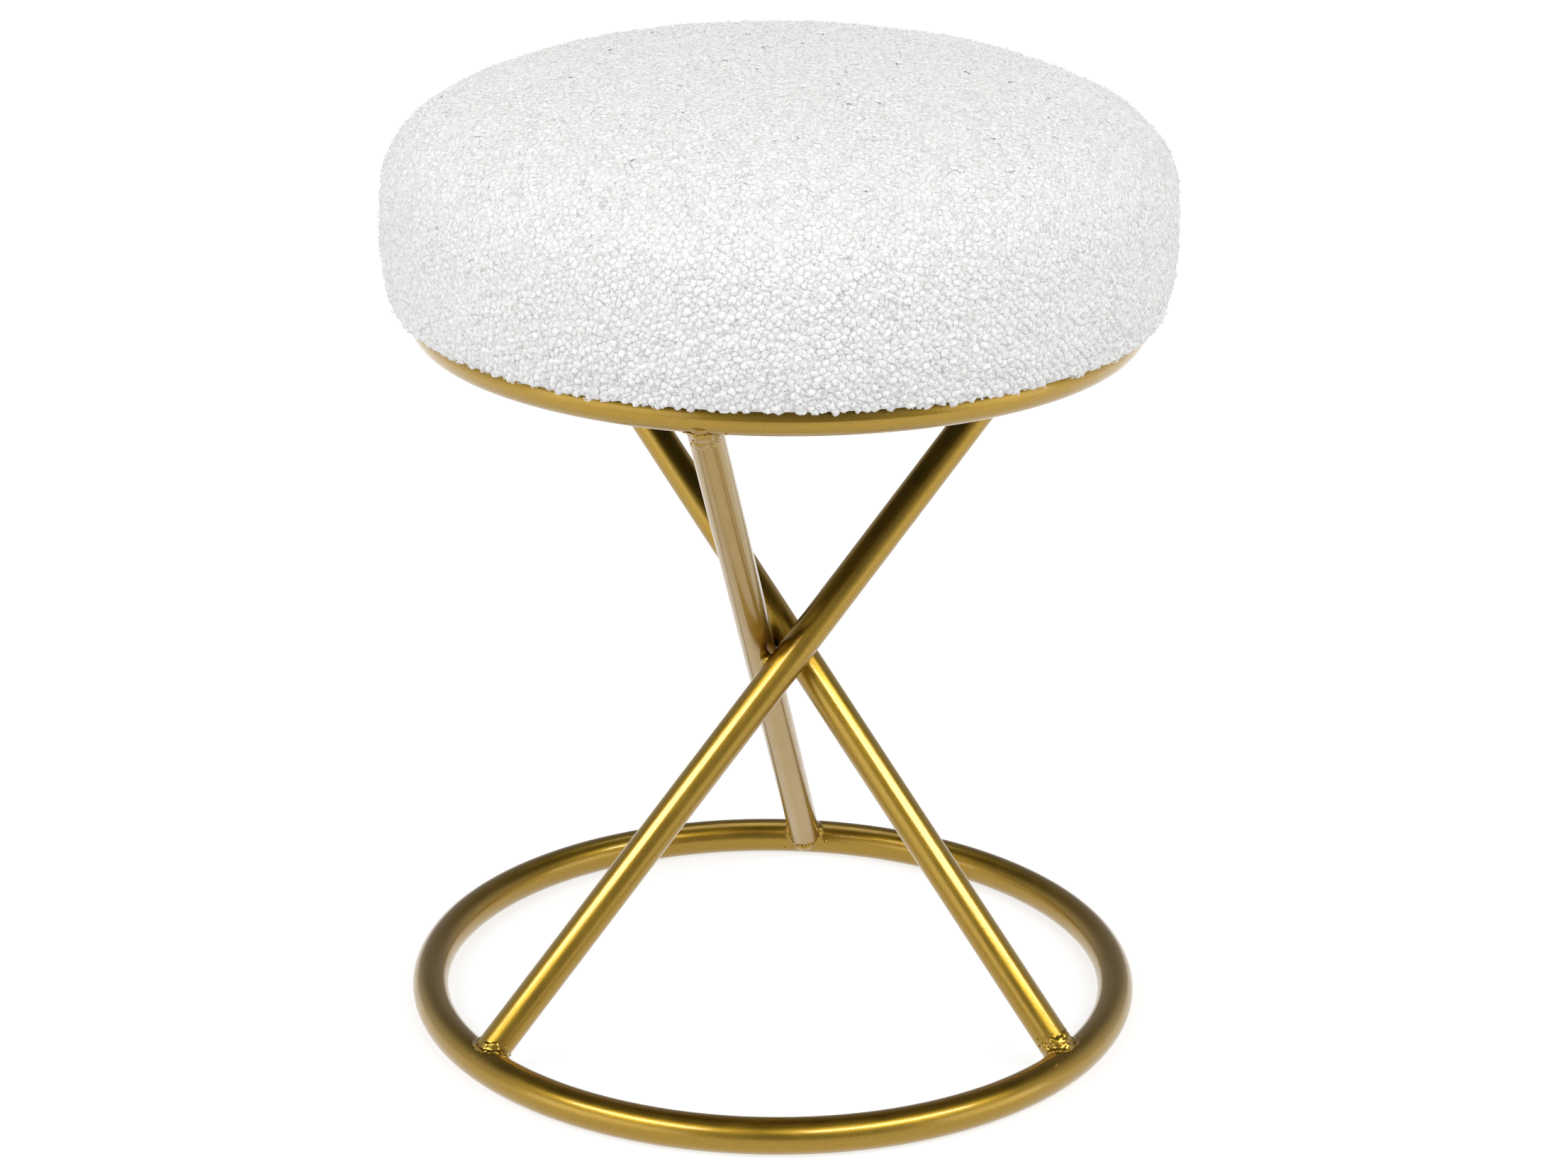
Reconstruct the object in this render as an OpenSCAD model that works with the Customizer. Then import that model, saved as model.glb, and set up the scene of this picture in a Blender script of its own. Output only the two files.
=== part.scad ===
// Round vanity stool: an upholstered drum seat on a frame of two tube rings and three crossing tubes.
// Millimetres, +Z up. The origin is on the floor at the middle of the floor ring.
// The front is towards -Y.

/* [Rings] */
// Outside diameter of the tube that both rings are bent from
ring_tube_d = 16; // [12:0.5:24]
// Outside diameter of the floor ring
base_ring_d = 330; // [280:1:420]
// How far the seat ring's outside lies inside the seat's lower edge
ring_inset = 4; // [2:0.5:12]
// Wall of all tubes
tube_wall = 1.2; // [0.8:0.1:2.5]
// Height of the seat ring's top above the floor
frame_h = 334; // [260:1:420]

/* [Legs] */
// Outside diameter of the leg tubes
leg_tube_d = 15; // [10:0.5:20]
// Room between the two leg tubes that pass each other closest
leg_gap = 0.1; // [0.05:0.05:1]
// Direction in plan from foot to head of leg 1, in degrees from +X
leg_1_heading = 30.9; // [15:0.1:45]
// Direction in plan from foot to head of leg 2
leg_2_heading = 142.1; // [130:0.1:160]
// Direction in plan from foot to head of leg 3
leg_3_heading = 261.4; // [250:0.1:280]
// Leg 1's distance from the middle, relative to the other legs
leg_1_pass = 1.39; // [0.9:0.01:1.5]
// Leg 2's distance from the middle, relative to the other legs
leg_2_pass = 1.15; // [0.8:0.01:1.4]
// Leg 3's distance from the middle, relative to the other legs
leg_3_pass = 0.77; // [0.7:0.01:1.2]
// How far leg 2's foot lies inside the middle of the floor ring's tube
leg_2_foot_in = 1.1; // [0:0.1:2]
// How far leg 3's foot lies inside the middle of the floor ring's tube
leg_3_foot_in = 1.6; // [0:0.1:2]
// How far leg 2's head lies outside the middle of the seat ring's tube
leg_2_head_out = 1; // [0:0.1:2]
// How far leg 3's head lies outside the middle of the seat ring's tube
leg_3_head_out = 1.6; // [0:0.1:2]

/* [Welds] */
// Thickness of the beads around the legs' ends
weld_t = 2.2; // [1:0.1:4]
// How far a tack reaches over each of the two tubes that it joins
tack_reach = 2.2; // [1.8:0.1:4]

/* [Seat tabs] */
// Number of tabs inside the seat ring
tab_n = 4; // [3:1:6]
// Direction of the first tab
tab_start = 10; // [0:1:20]
// Width of a tab
tab_w = 28; // [20:1:40]
// Thickness of a tab
tab_t = 3; // [2:0.5:5]
// Distance of the screws from the seat ring's tube
screw_inset = 16; // [15:1:30]

/* [Screws] */
// Thread diameter
screw_d = 6; // [5:1:8]
// Length under the head
screw_l = 16; // [14:1:20]
// Head diameter
screw_head_d = 11; // [9:0.5:14]
// Head height
screw_head_h = 3.3; // [2.5:0.1:5]
// Width across the flats of the hexagon socket
socket_w = 4; // [3:0.5:5]
// Washer diameter
washer_d = 13; // [12:0.5:18]
// Washer thickness
washer_t = 1.6; // [1:0.1:2]
// Room around the thread in the washers and the cloth
thread_room = 0.4; // [0.2:0.1:1]
// Further room in the tabs' holes, to line the seat up
tab_room = 0.3; // [0.1:0.1:1]

/* [Tee nuts] */
// Flange diameter
tee_flange_d = 19; // [16:1:24]
// Flange thickness
tee_flange_t = 1.3; // [1:0.1:2]
// Wall of the barrel
tee_wall = 1; // [0.7:0.1:1.5]
// Length of the barrel below the flange
tee_barrel_l = 9; // [6:0.5:11]
// Running room between screw and tee nut, and between tee nut and board
tee_room = 0.1; // [0.05:0.05:0.2]

/* [Seat] */
// Diameter of the seat where it is widest
seat_d = 340; // [300:1:420]
// Height of the crown above the seat ring's top
seat_h = 102; // [80:1:130]
// Height of the widest place above the seat ring's top
widest_h = 27; // [20:1:40]
// How much the seat's side tucks in at its lower edge
tuck = 6; // [2:0.5:10]
// How far the cover's lower edge hangs below the seat ring's top
edge_drop = 1.7; // [0:0.1:4]
// Thickness of the plywood board
board_t = 12; // [10:1:18]
// Thickness of the wadding
wadding_t = 8; // [4:1:12]
// Thickness of the boucle cloth, pile included
cover_t = 3; // [2:0.1:5]

/* [Underside] */
// Thickness of the cover's hem, pressed flat by the staples
hem_t = 2.4; // [1.5:0.1:3]
// How far the hem reaches inwards from the board's edge
hem_w = 21; // [16:1:24]
// Thickness of the dust cover
dust_t = 0.6; // [0.4:0.1:1]
// How far the dust cover's edge stays inside the board's edge
dust_inset = 3; // [2:0.5:5]
// Number of staples between one tab and the next
staple_n = 5; // [3:1:7]
// Width of a staple
staple_w = 10; // [8:1:12]
// Thickness of the staple wire
staple_t = 0.9; // [0.6:0.1:1.2]
// How deep the staples go into the board
staple_deep = 5; // [3:0.5:8]
// Distance of the staples from the board's edge
staple_inset = 12; // [10:0.5:14]

/* [Hidden] */
$fn = 96;
TUBE_FN = 48; // sides of the rings' tubes where OpenSCAD draws them
OVER = 1;     // how far a cutting shape runs past what it cuts

GOLD = "#b0924a";
ZINC = "#b9bcc0";
CREAM = "#ecebe7";
PLY = "#c9a877";
FOAM = "#e6d9a8";
WADDING = "#f4f4f2";
BLACK = "#202022";

// Rings: the radius of each centre line, and the heights of the two centre lines.
ring_r = ring_tube_d / 2;
base_r = base_ring_d / 2 - ring_r;
seat_r = seat_d / 2 - tuck - ring_inset - ring_r;
base_z = ring_r;
head_z = frame_h - ring_r;

// Legs. A leg's plan is a straight line that passes the middle at a distance, and its ends lie in the
// rings' tubes. The distances keep their proportions, and are as large as the closest pair of legs needs.
leg_r = leg_tube_d / 2;
foot_r = [base_r, base_r - leg_2_foot_in, base_r - leg_3_foot_in];
head_r = [seat_r, seat_r + leg_2_head_out, seat_r + leg_3_head_out];
heading = [leg_1_heading, leg_2_heading, leg_3_heading];
pass = [leg_1_pass, leg_2_pass, leg_3_pass];
pairs = [[0, 1], [1, 2], [2, 0]];

function on_ring(r, angle, z) = [r * cos(angle), r * sin(angle), z];
function foot(i, s) = on_ring(foot_r[i], heading[i] + 180 + asin(s * pass[i] / foot_r[i]), base_z);
function head(i, s) = on_ring(head_r[i], heading[i] - asin(s * pass[i] / head_r[i]), head_z);
function along(i, s) = (head(i, s) - foot(i, s)) / norm(head(i, s) - foot(i, s));
function normal_of(p, s) = let (n = cross(along(p[0], s), along(p[1], s))) n / norm(n);
function apart(p, s) = abs((foot(p[1], s) - foot(p[0], s)) * normal_of(p, s));
function closest(s) = min([for (p = pairs) apart(p, s)]);
function solve(s, turns) = turns == 0 ? s : solve(s * (leg_tube_d + leg_gap) / closest(s), turns - 1);

pass_unit = solve(leg_r, 6);
feet = [for (i = [0:2]) foot(i, pass_unit)];
heads = [for (i = [0:2]) head(i, pass_unit)];

// Where a pair of legs is closest: the point on the first leg's axis.
function near_point(p) = let (
        a = feet[p[0]], b = feet[p[1]],
        u = along(p[0], pass_unit), v = along(p[1], pass_unit),
        c = u * v, w = b - a
    ) a + u * ((w * u - c * (w * v)) / (1 - c * c));

// Seat heights, from the ring's top upwards.
dust_z = frame_h;
hem_z = dust_z + dust_t;
board_z = hem_z + hem_t;
pad_z = board_z + board_t;
wide_z = frame_h + widest_h;
top_z = frame_h + seat_h;
edge_z = frame_h - edge_drop;

// Seat radii.
wide_r = seat_d / 2;
board_r = wide_r - cover_t - wadding_t;
hem_r = board_r - hem_w;
dust_r = board_r - dust_inset;
staple_r = board_r - staple_inset;
screw_r = seat_r - ring_r - screw_inset;
tab_end_r = seat_r - 0.4 * ring_r; // just short of the ring's crown

// Screws and their seats.
tab_z = frame_h - tab_t;
washer_z = tab_z - washer_t;
tab_hole_d = screw_d + thread_room + tab_room;
tee_bore_d = screw_d + tee_room;
tee_barrel_d = tee_bore_d + 2 * tee_wall;

// The outline of the seat, inset by t from the outside. The top is a flattened dome, and below the
// widest place the side curves in.
DOME_STEPS = 24;
SIDE_STEPS = 8;
TUCK_POWER = 2.4; // the side curves in faster towards its lower edge
function dome(t) = [
    for (i = [0:DOME_STEPS]) let (a = 90 * pow(i / DOME_STEPS, 2))
        [(wide_r - t) * cos(a), wide_z + (top_z - wide_z - t) * sqrt(sin(a))]
];
function side_r(z) = wide_r - tuck * pow(max(0, wide_z - z) / (wide_z - edge_z), TUCK_POWER);
function side(t, z) = [
    for (i = [0:SIDE_STEPS - 1]) let (h = z + (wide_z - z) * i / SIDE_STEPS) [side_r(h) - t, h]
];
function reversed(list) = [for (i = [len(list) - 1:-1:0]) list[i]];

module ring_solid(r, tube_r) {
    rotate_extrude() translate([r, 0]) circle(r = tube_r, $fn = TUBE_FN);
}

module tube_ring(r, z) {
    translate([0, 0, z]) rotate_extrude() translate([r, 0]) difference() {
        circle(r = ring_r, $fn = TUBE_FN);
        circle(r = ring_r - tube_wall, $fn = TUBE_FN);
    }
}

// Stands its children on point a, with their +Z towards point b.
module from_to(a, b) {
    v = b - a;
    translate(a) rotate([0, acos(v[2] / norm(v)), atan2(v[1], v[0])]) children();
}

module leg_solid(i, r) {
    from_to(feet[i], heads[i]) cylinder(r = r, h = norm(heads[i] - feet[i]));
}

module leg(i) {
    color(GOLD) difference() {
        leg_solid(i, leg_r);
        leg_solid(i, leg_r - tube_wall);
        translate([0, 0, base_z]) ring_solid(base_r, ring_r);
        translate([0, 0, head_z]) ring_solid(seat_r, ring_r);
    }
}

// The bead around the end of leg i at point a: what is near both the leg and the ring of radius r at
// height z, on the side of the ring that the leg comes from.
module end_weld(i, a, b, r, z) {
    start = leg_r / 2;
    difference() {
        intersection() {
            from_to(a, b) translate([0, 0, start]) cylinder(r = leg_r + weld_t, h = ring_tube_d);
            translate([0, 0, z]) ring_solid(r, ring_r + weld_t);
        }
        leg_solid(i, leg_r);
        translate([0, 0, z]) ring_solid(r, ring_r);
    }
}

// A tack between the two legs of a pair, in the corner just below the place where they pass.
module tack(p) {
    drop = 0.7 * leg_r;
    a = near_point(p);
    n = normal_of(p, pass_unit);
    side_of = (feet[p[1]] - feet[p[0]]) * n > 0 ? 1 : -1;
    gap = apart(p, pass_unit);
    down = -along(p[0], pass_unit) - along(p[1], pass_unit);
    difference() {
        translate(a + n * side_of * gap / 2 + down / norm(down) * drop)
            sphere(r = (gap - leg_tube_d) / 2 + tack_reach);
        leg_solid(p[0], leg_r);
        leg_solid(p[1], leg_r);
    }
}

module at_tabs() {
    for (k = [0:tab_n - 1]) rotate([0, 0, tab_start + 360 * k / tab_n]) children();
}

module at_screws(z) {
    at_tabs() translate([screw_r, 0, z]) children();
}

// A tab: round at the screw, and cut to the seat ring's inner side.
module seat_tab() {
    difference() {
        intersection() {
            union() {
                translate([screw_r, 0, tab_z]) cylinder(d = tab_w, h = tab_t);
                translate([screw_r, -tab_w / 2, tab_z]) cube([seat_r - screw_r, tab_w, tab_t]);
            }
            translate([0, 0, tab_z - OVER]) cylinder(r = tab_end_r, h = tab_t + 2 * OVER);
        }
        translate([screw_r, 0, tab_z - OVER]) cylinder(d = tab_hole_d, h = tab_t + 2 * OVER);
        translate([0, 0, head_z]) ring_solid(seat_r, ring_r);
    }
}

// The bead under a tab, in the corner with the seat ring.
module tab_weld() {
    bead_l = tab_w - 2 * weld_t;
    difference() {
        intersection() {
            translate([seat_r - ring_tube_d, -bead_l / 2, tab_z - weld_t]) cube([ring_tube_d, bead_l, weld_t]);
            translate([0, 0, head_z]) ring_solid(seat_r, ring_r + weld_t);
        }
        translate([0, 0, head_z]) ring_solid(seat_r, ring_r);
    }
}

module seat_screw() {
    socket_deep = 0.6 * screw_head_h;
    translate([0, 0, washer_z]) cylinder(d = screw_d, h = screw_l);
    difference() {
        translate([0, 0, washer_z - screw_head_h]) cylinder(d = screw_head_d, h = screw_head_h);
        translate([0, 0, washer_z - screw_head_h - OVER])
            cylinder(d = socket_w / cos(30), h = socket_deep + OVER, $fn = 6);
    }
}

module screw_washer() {
    difference() {
        translate([0, 0, washer_z]) cylinder(d = washer_d, h = washer_t);
        translate([0, 0, washer_z - OVER]) cylinder(d = screw_d + thread_room, h = washer_t + 2 * OVER);
    }
}

module tee_nut() {
    difference() {
        union() {
            translate([0, 0, pad_z]) cylinder(d = tee_flange_d, h = tee_flange_t);
            translate([0, 0, pad_z - tee_barrel_l])
                cylinder(d = tee_barrel_d, h = tee_barrel_l + tee_flange_t);
        }
        translate([0, 0, pad_z - tee_barrel_l - OVER])
            cylinder(d = tee_bore_d, h = tee_barrel_l + tee_flange_t + 2 * OVER);
    }
}

// One staple, driven up from below the dust cover.
module staple() {
    leg_h = board_z + staple_deep - dust_z;
    translate([-staple_t / 2, -staple_w / 2, dust_z - staple_t]) cube([staple_t, staple_w, staple_t]);
    for (y = [-staple_w / 2, staple_w / 2 - staple_t])
        translate([-staple_t / 2, y, dust_z - staple_t]) cube([staple_t, staple_t, leg_h + staple_t]);
}

module all_staples() {
    for (k = [1:staple_n])
        at_tabs() rotate([0, 0, 360 / tab_n * k / (staple_n + 1)]) translate([staple_r, 0, 0]) staple();
}

module base_ring() {
    color(GOLD) tube_ring(base_r, base_z);
}

module seat_ring() {
    color(GOLD) tube_ring(seat_r, head_z);
}

module foot_welds() {
    color(GOLD) for (i = [0:2]) end_weld(i, feet[i], heads[i], base_r, base_z);
}

module head_welds() {
    color(GOLD) for (i = [0:2]) end_weld(i, heads[i], feet[i], seat_r, head_z);
}

module cross_tacks() {
    color(GOLD) for (p = pairs) tack(p);
}

module seat_tabs() {
    color(GOLD) at_tabs() seat_tab();
}

module tab_welds() {
    color(GOLD) at_tabs() tab_weld();
}

module seat_screws() {
    color(ZINC) at_screws(0) seat_screw();
}

module screw_washers() {
    color(ZINC) at_screws(0) screw_washer();
}

module tee_nuts() {
    color(ZINC) at_screws(0) tee_nut();
}

module seat_board() {
    color(PLY) difference() {
        translate([0, 0, board_z]) cylinder(r = board_r, h = board_t);
        at_screws(board_z - OVER) cylinder(d = tee_barrel_d + tee_room, h = board_t + 2 * OVER);
        all_staples();
    }
}

module seat_foam() {
    color(FOAM) difference() {
        rotate_extrude() polygon(concat([[0, pad_z], [board_r, pad_z]], dome(wide_r - board_r)));
        at_screws(pad_z - OVER)
            cylinder(d = tee_flange_d + 2 * tee_room, h = OVER + tee_flange_t + tee_room);
    }
}

module seat_wadding() {
    color(WADDING) rotate_extrude() polygon(concat(
        [[board_r, board_z]],
        side(cover_t, board_z),
        dome(cover_t),
        reversed(dome(wide_r - board_r))
    ));
}

// The cover: over the top and down the side, round the lower edge, and flat under the board as a hem.
module seat_cover() {
    fold_r = side_r(edge_z) - 0.6 * cover_t; // the inside of the fold, where the cloth turns under
    clear_r = seat_r + 0.7 * ring_r;         // outside this the cloth may hang below the ring's top
    color(CREAM) difference() {
        rotate_extrude() polygon(concat(
            [[hem_r, hem_z], [clear_r, hem_z], [fold_r, edge_z]],
            side(0, edge_z),
            dome(0),
            reversed(dome(cover_t)),
            reversed(side(cover_t, board_z)),
            [[hem_r, board_z]]
        ));
        all_staples();
    }
}

module dust_cover() {
    color(BLACK) difference() {
        translate([0, 0, dust_z]) cylinder(r = dust_r, h = dust_t);
        at_screws(dust_z - OVER) cylinder(d = screw_d + thread_room, h = dust_t + 2 * OVER);
        all_staples();
    }
}

module staples() {
    color(ZINC) all_staples();
}

base_ring();
leg(0);  // leg_1
leg(1);  // leg_2
leg(2);  // leg_3
seat_ring();
foot_welds();
head_welds();
cross_tacks();
seat_tabs();
tab_welds();
seat_screws();
screw_washers();
tee_nuts();
seat_board();
seat_foam();
seat_wadding();
seat_cover();
dust_cover();
staples();
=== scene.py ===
"""Looks for the round vanity stool: gold painted tube frame, boucle seat, soft studio."""
import math
import random

import bmesh
import bpy
from mathutils import Matrix, Vector, noise
from mathutils.bvhtree import BVHTree


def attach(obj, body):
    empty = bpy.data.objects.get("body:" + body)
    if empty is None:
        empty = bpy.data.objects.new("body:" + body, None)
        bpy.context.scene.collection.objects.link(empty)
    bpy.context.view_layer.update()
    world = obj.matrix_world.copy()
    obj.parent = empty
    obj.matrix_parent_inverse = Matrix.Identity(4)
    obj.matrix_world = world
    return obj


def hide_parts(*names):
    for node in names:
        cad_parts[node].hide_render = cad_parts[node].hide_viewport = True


MM = 0.001
UP = Vector((0, 0, 1))
FULL_TURN = 2 * math.pi
GOLDEN_TURN = math.pi * (3 - math.sqrt(5))
# The colour sockets of a Mix node
MIX_COLOR_A, MIX_COLOR_B, MIX_COLOR_RESULT = 6, 7, 2

# Camera
CAMERA_AT = (0, -1.65794, 0.812)
CAMERA_LENS = 91.52
CAMERA_YAW = -0.0020145
CAMERA_DOWN = 0.3551787
CAMERA_ROLL = 0.0095409

# Studio. A lamp has its turn round the stool from the back towards the right and its height above
# the stool's middle in degrees, its distance, width and height in metres, and its power in watts.
LAMPS = {
    "softbox_right": (137, 45, 2.3, 2.0, 0.36, 26.5),
    "softbox_left": (-132, 41, 2.3, 1.6, 0.36, 20.5),
    "softbox_top": (0, 68, 2.3, 1.2, 1.2, 8),
    "reflector_left": (-130, 1.5, 2.3, 2.3, 1.1, 11),
    "reflector_right": (112, 3, 2.3, 1.6, 0.9, 6),
}
# Fills that light the fabric and the floor, and that the metal does not show
FILLS = {
    "fill_front": (180, 38, 2.3, 1.9, 1.2, 2.5),
    "fill_back": (0, 12, 2.3, 2.4, 1.0, 8),
}
# Glints in front of the side softboxes, which only the metal shows
GLINTS = {
    "glint_right": (137, 45, 2.28, 2.0, 0.36, 9),
    "glint_left": (-132, 41, 2.28, 1.6, 0.36, 7.5),
}
STOOL_MIDDLE = Vector((0, 0, 0.25))
ROOM_R = 6
ROOM_FOOT_Z = 0.02
# How brightly the room glows: low down at the back, low down at the sides, and overhead
ROOM_BACK, ROOM_SIDE, ROOM_TOP = 0.3, 0.75, 0.02
# The white floor's glow near the stool and away from it, and where the one turns into the other
FLOOR_GLOW_NEAR, FLOOR_GLOW_FAR = 0.74, 1
FLOOR_NEAR_R, FLOOR_FAR_R = 0.25, 0.8
# Metal shows the floor in front of the set as dim, from the one distance to the other
FLOOR_DIM, DIM_FROM, DIM_TO = 0.15, 0.6, 1.1

# Seat
SEAT_WIDE_R = 170 * MM
SEAT_WIDE_Z = 361 * MM
SEAT_TOP_Z = 436 * MM
SEAT_EDGE_Z = 331.7 * MM
SEAT_TUCK = 5 * MM
TUCK_POWER = 2.4
BOARD_R = 159 * MM
BOARD_LOW_Z = 337 * MM
BOARD_TOP_Z = 349 * MM
HEM_R = 138 * MM
HEM_Z = 334.6 * MM
FOLD_R = 157.6 * MM
# Painted shade: a dark grey cloth under the seat edge, as far out as this
PAINTED_SHADE_R = 163.2 * MM

# Stuffing: the mesh size of the cover while it is stuffed, and how far the filling may push it out.
COVER_STEP = 5.6 * MM
COVER_STEPS_ROUND = 190
SWELL = 2.0 * MM
STUFFING_FRAMES = 20

# Boucle: knobs of yarn stand close together on a backing that lies inside the tips of the pile, and
# loose curls of yarn lie over them.
PILE = 0.6 * MM
KNOB_GAP = 2.9 * MM
KNOB_R = 2.5 * MM
KNOB_SUNK = 1.1 * MM
CURL_GAP = 2.9 * MM
YARN_R = 0.19 * MM
SAT_FLAT = 0.42
PILE_PARTS = 8

# Welds: the step of their skin, how thin they run beside their heavy patches, their lumps and spatter
WELD_STEP = 0.4 * MM
WELD_THIN = 0.16
WELD_LUMP = 0.3 * MM
BLOB_R = 2.2 * MM
BLOB_SPREAD = 3 * MM
SPATTER_R = 0.48 * MM
SPATTER_SPREAD = 4.8 * MM
# How far spatter lies beyond its patch along the leg, before its start and past its end, in millimetres
SPATTER_BEFORE, SPATTER_PAST = 2, 3
# A heavy patch of weld at a joint: the way it faces, from where to where it reaches along the leg in
# millimetres, how flat it lies, its number of blobs and its number of spatter beads
FOOT_PATCHES = (
    ((0.35, -1, 0.45), 0, 6, 0.45, 18, 26),
    ((0.6, -1, 0.3), -1, 1.5, 0.4, 9, 9),
    ((0, -1, 0), -10, -8, 0.4, 9, 8),
)
HEAD_PATCHES = (
    ((0, -1, 0.1), 5, 15, 0.34, 40, 4),
    ((0.5, -1, 0), 2, 6, 0.35, 9, 5),
    ((-0.5, -1, 0), 2, 6, 0.35, 9, 5),
)

# The cloth under the seat
DUST_R = 156 * MM
DUST_Z = 334.3 * MM
DUST_SAG = 1.2 * MM
DUST_FREE_R = 112 * MM
DUST_RINGS = 44
DUST_STEPS_ROUND = 240


def finish_mesh(bm, name, smooth=True):
    """Turns a finished bmesh into an object in the scene."""
    mesh = bpy.data.meshes.new(name)
    bm.to_mesh(mesh)
    bm.free()
    for polygon in mesh.polygons:
        polygon.use_smooth = smooth
    piece = bpy.data.objects.new(name, mesh)
    bpy.context.scene.collection.objects.link(piece)
    return piece


def new_material(name):
    """A new material with its nodes, its links and its main shader."""
    material = bpy.data.materials.new(name)
    material.use_nodes = True
    nodes = material.node_tree.nodes
    return material, nodes, material.node_tree.links, nodes["Principled BSDF"]


def look():
    """The camera in front of the stool, a little above the seat, with a long lens."""
    lens = bpy.data.cameras.new("camera")
    lens.lens = CAMERA_LENS
    lens.sensor_width = 36
    camera = bpy.data.objects.new("camera", lens)
    bpy.context.scene.collection.objects.link(camera)
    camera.matrix_world = (
        Matrix.Translation(CAMERA_AT)
        @ Matrix.Rotation(CAMERA_YAW, 4, "Z")
        @ Matrix.Rotation(math.pi / 2 - CAMERA_DOWN, 4, "X")
        @ Matrix.Rotation(CAMERA_ROLL, 4, "Z")
    )
    bpy.context.scene.camera = camera


def lamp(name, turn, height, distance, wide, tall, power):
    """A soft lamp that faces the stool."""
    light = bpy.data.lights.new(name, "AREA")
    light.shape = "RECTANGLE"
    light.size, light.size_y = wide, tall
    light.energy = power
    piece = bpy.data.objects.new(name, light)
    bpy.context.scene.collection.objects.link(piece)
    turn, height = math.radians(turn), math.radians(height)
    away = Vector(
        (math.sin(turn) * math.cos(height), math.cos(turn) * math.cos(height), math.sin(height))
    )
    piece.location = STOOL_MIDDLE + away * distance
    piece.rotation_euler = away.to_track_quat("Z", "Y").to_euler()
    return piece


def seen_directly(nodes, links):
    """1 for rays from the camera and for what metal shows, 0 for the light that falls on things."""
    path = nodes.new("ShaderNodeLightPath")
    first = nodes.new("ShaderNodeMath")
    first.operation = "MAXIMUM"
    links.new(path.outputs["Is Camera Ray"], first.inputs[0])
    links.new(path.outputs["Is Glossy Ray"], first.inputs[1])
    both = nodes.new("ShaderNodeMath")
    both.operation = "MAXIMUM"
    links.new(first.outputs[0], both.inputs[0])
    links.new(path.outputs["Is Transmission Ray"], both.inputs[1])
    return both.outputs[0]


def white_surroundings():
    """The world: white where it is seen, and dark for the light that falls on things."""
    world = bpy.data.worlds.new("studio")
    bpy.context.scene.world = world
    world.use_nodes = True
    nodes, links = world.node_tree.nodes, world.node_tree.links
    background = nodes["Background"]
    background.inputs["Color"].default_value = (1, 1, 1, 1)
    links.new(seen_directly(nodes, links), background.inputs["Strength"])


def ramp(nodes, links, value, low, high, at_low, at_high):
    """value from low to high turned into at_low to at_high, and held beyond."""
    node = nodes.new("ShaderNodeMapRange")
    node.interpolation_type = "SMOOTHSTEP"
    node.inputs["From Min"].default_value = low
    node.inputs["From Max"].default_value = high
    node.inputs["To Min"].default_value = at_low
    node.inputs["To Max"].default_value = at_high
    links.new(value, node.inputs["Value"])
    return node.outputs["Result"]


def floor_glow(nodes, links):
    """The white that the floor adds where it is seen: less near the stool, and dim in front in metal."""
    place = nodes.new("ShaderNodeTexCoord")
    away = nodes.new("ShaderNodeVectorMath")
    away.operation = "LENGTH"
    links.new(place.outputs["Object"], away.inputs[0])
    level = ramp(
        nodes, links, away.outputs["Value"], FLOOR_NEAR_R, FLOOR_FAR_R, FLOOR_GLOW_NEAR, FLOOR_GLOW_FAR
    )
    split = nodes.new("ShaderNodeSeparateXYZ")
    links.new(place.outputs["Object"], split.inputs[0])
    path = nodes.new("ShaderNodeLightPath")
    kept = nodes.new("ShaderNodeMix")
    kept.inputs["A"].default_value = 1
    links.new(path.outputs["Is Glossy Ray"], kept.inputs["Factor"])
    dimmed = ramp(nodes, links, split.outputs["Y"], -DIM_TO, -DIM_FROM, FLOOR_DIM, 1)
    links.new(dimmed, kept.inputs["B"])
    strength = nodes.new("ShaderNodeMath")
    strength.operation = "MULTIPLY"
    links.new(level, strength.inputs[0])
    links.new(kept.outputs["Result"], strength.inputs[1])
    glow = nodes.new("ShaderNodeEmission")
    links.new(strength.outputs[0], glow.inputs["Strength"])
    return glow.outputs[0]


def floor():
    """A plain white floor that keeps the stool's soft shadow and runs out into white."""
    bm = bmesh.new()
    bmesh.ops.create_circle(bm, cap_ends=True, segments=96, radius=40)
    piece = finish_mesh(bm, "floor")
    material, nodes, links, shader = new_material("floor_white")
    shader.inputs["Base Color"].default_value = (0.8, 0.8, 0.8, 1)
    shader.inputs["Roughness"].default_value = 0.9
    shader.inputs["Specular IOR Level"].default_value = 0
    shown = nodes.new("ShaderNodeBsdfDiffuse")
    shown.inputs["Color"].default_value = (0.4, 0.4, 0.4, 1)
    add = nodes.new("ShaderNodeAddShader")
    links.new(shown.outputs[0], add.inputs[0])
    links.new(floor_glow(nodes, links), add.inputs[1])
    mix = nodes.new("ShaderNodeMixShader")
    links.new(seen_directly(nodes, links), mix.inputs[0])
    links.new(shader.outputs[0], mix.inputs[1])
    links.new(add.outputs[0], mix.inputs[2])
    links.new(mix.outputs[0], nodes["Material Output"].inputs["Surface"])
    piece.data.materials.append(material)


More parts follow.
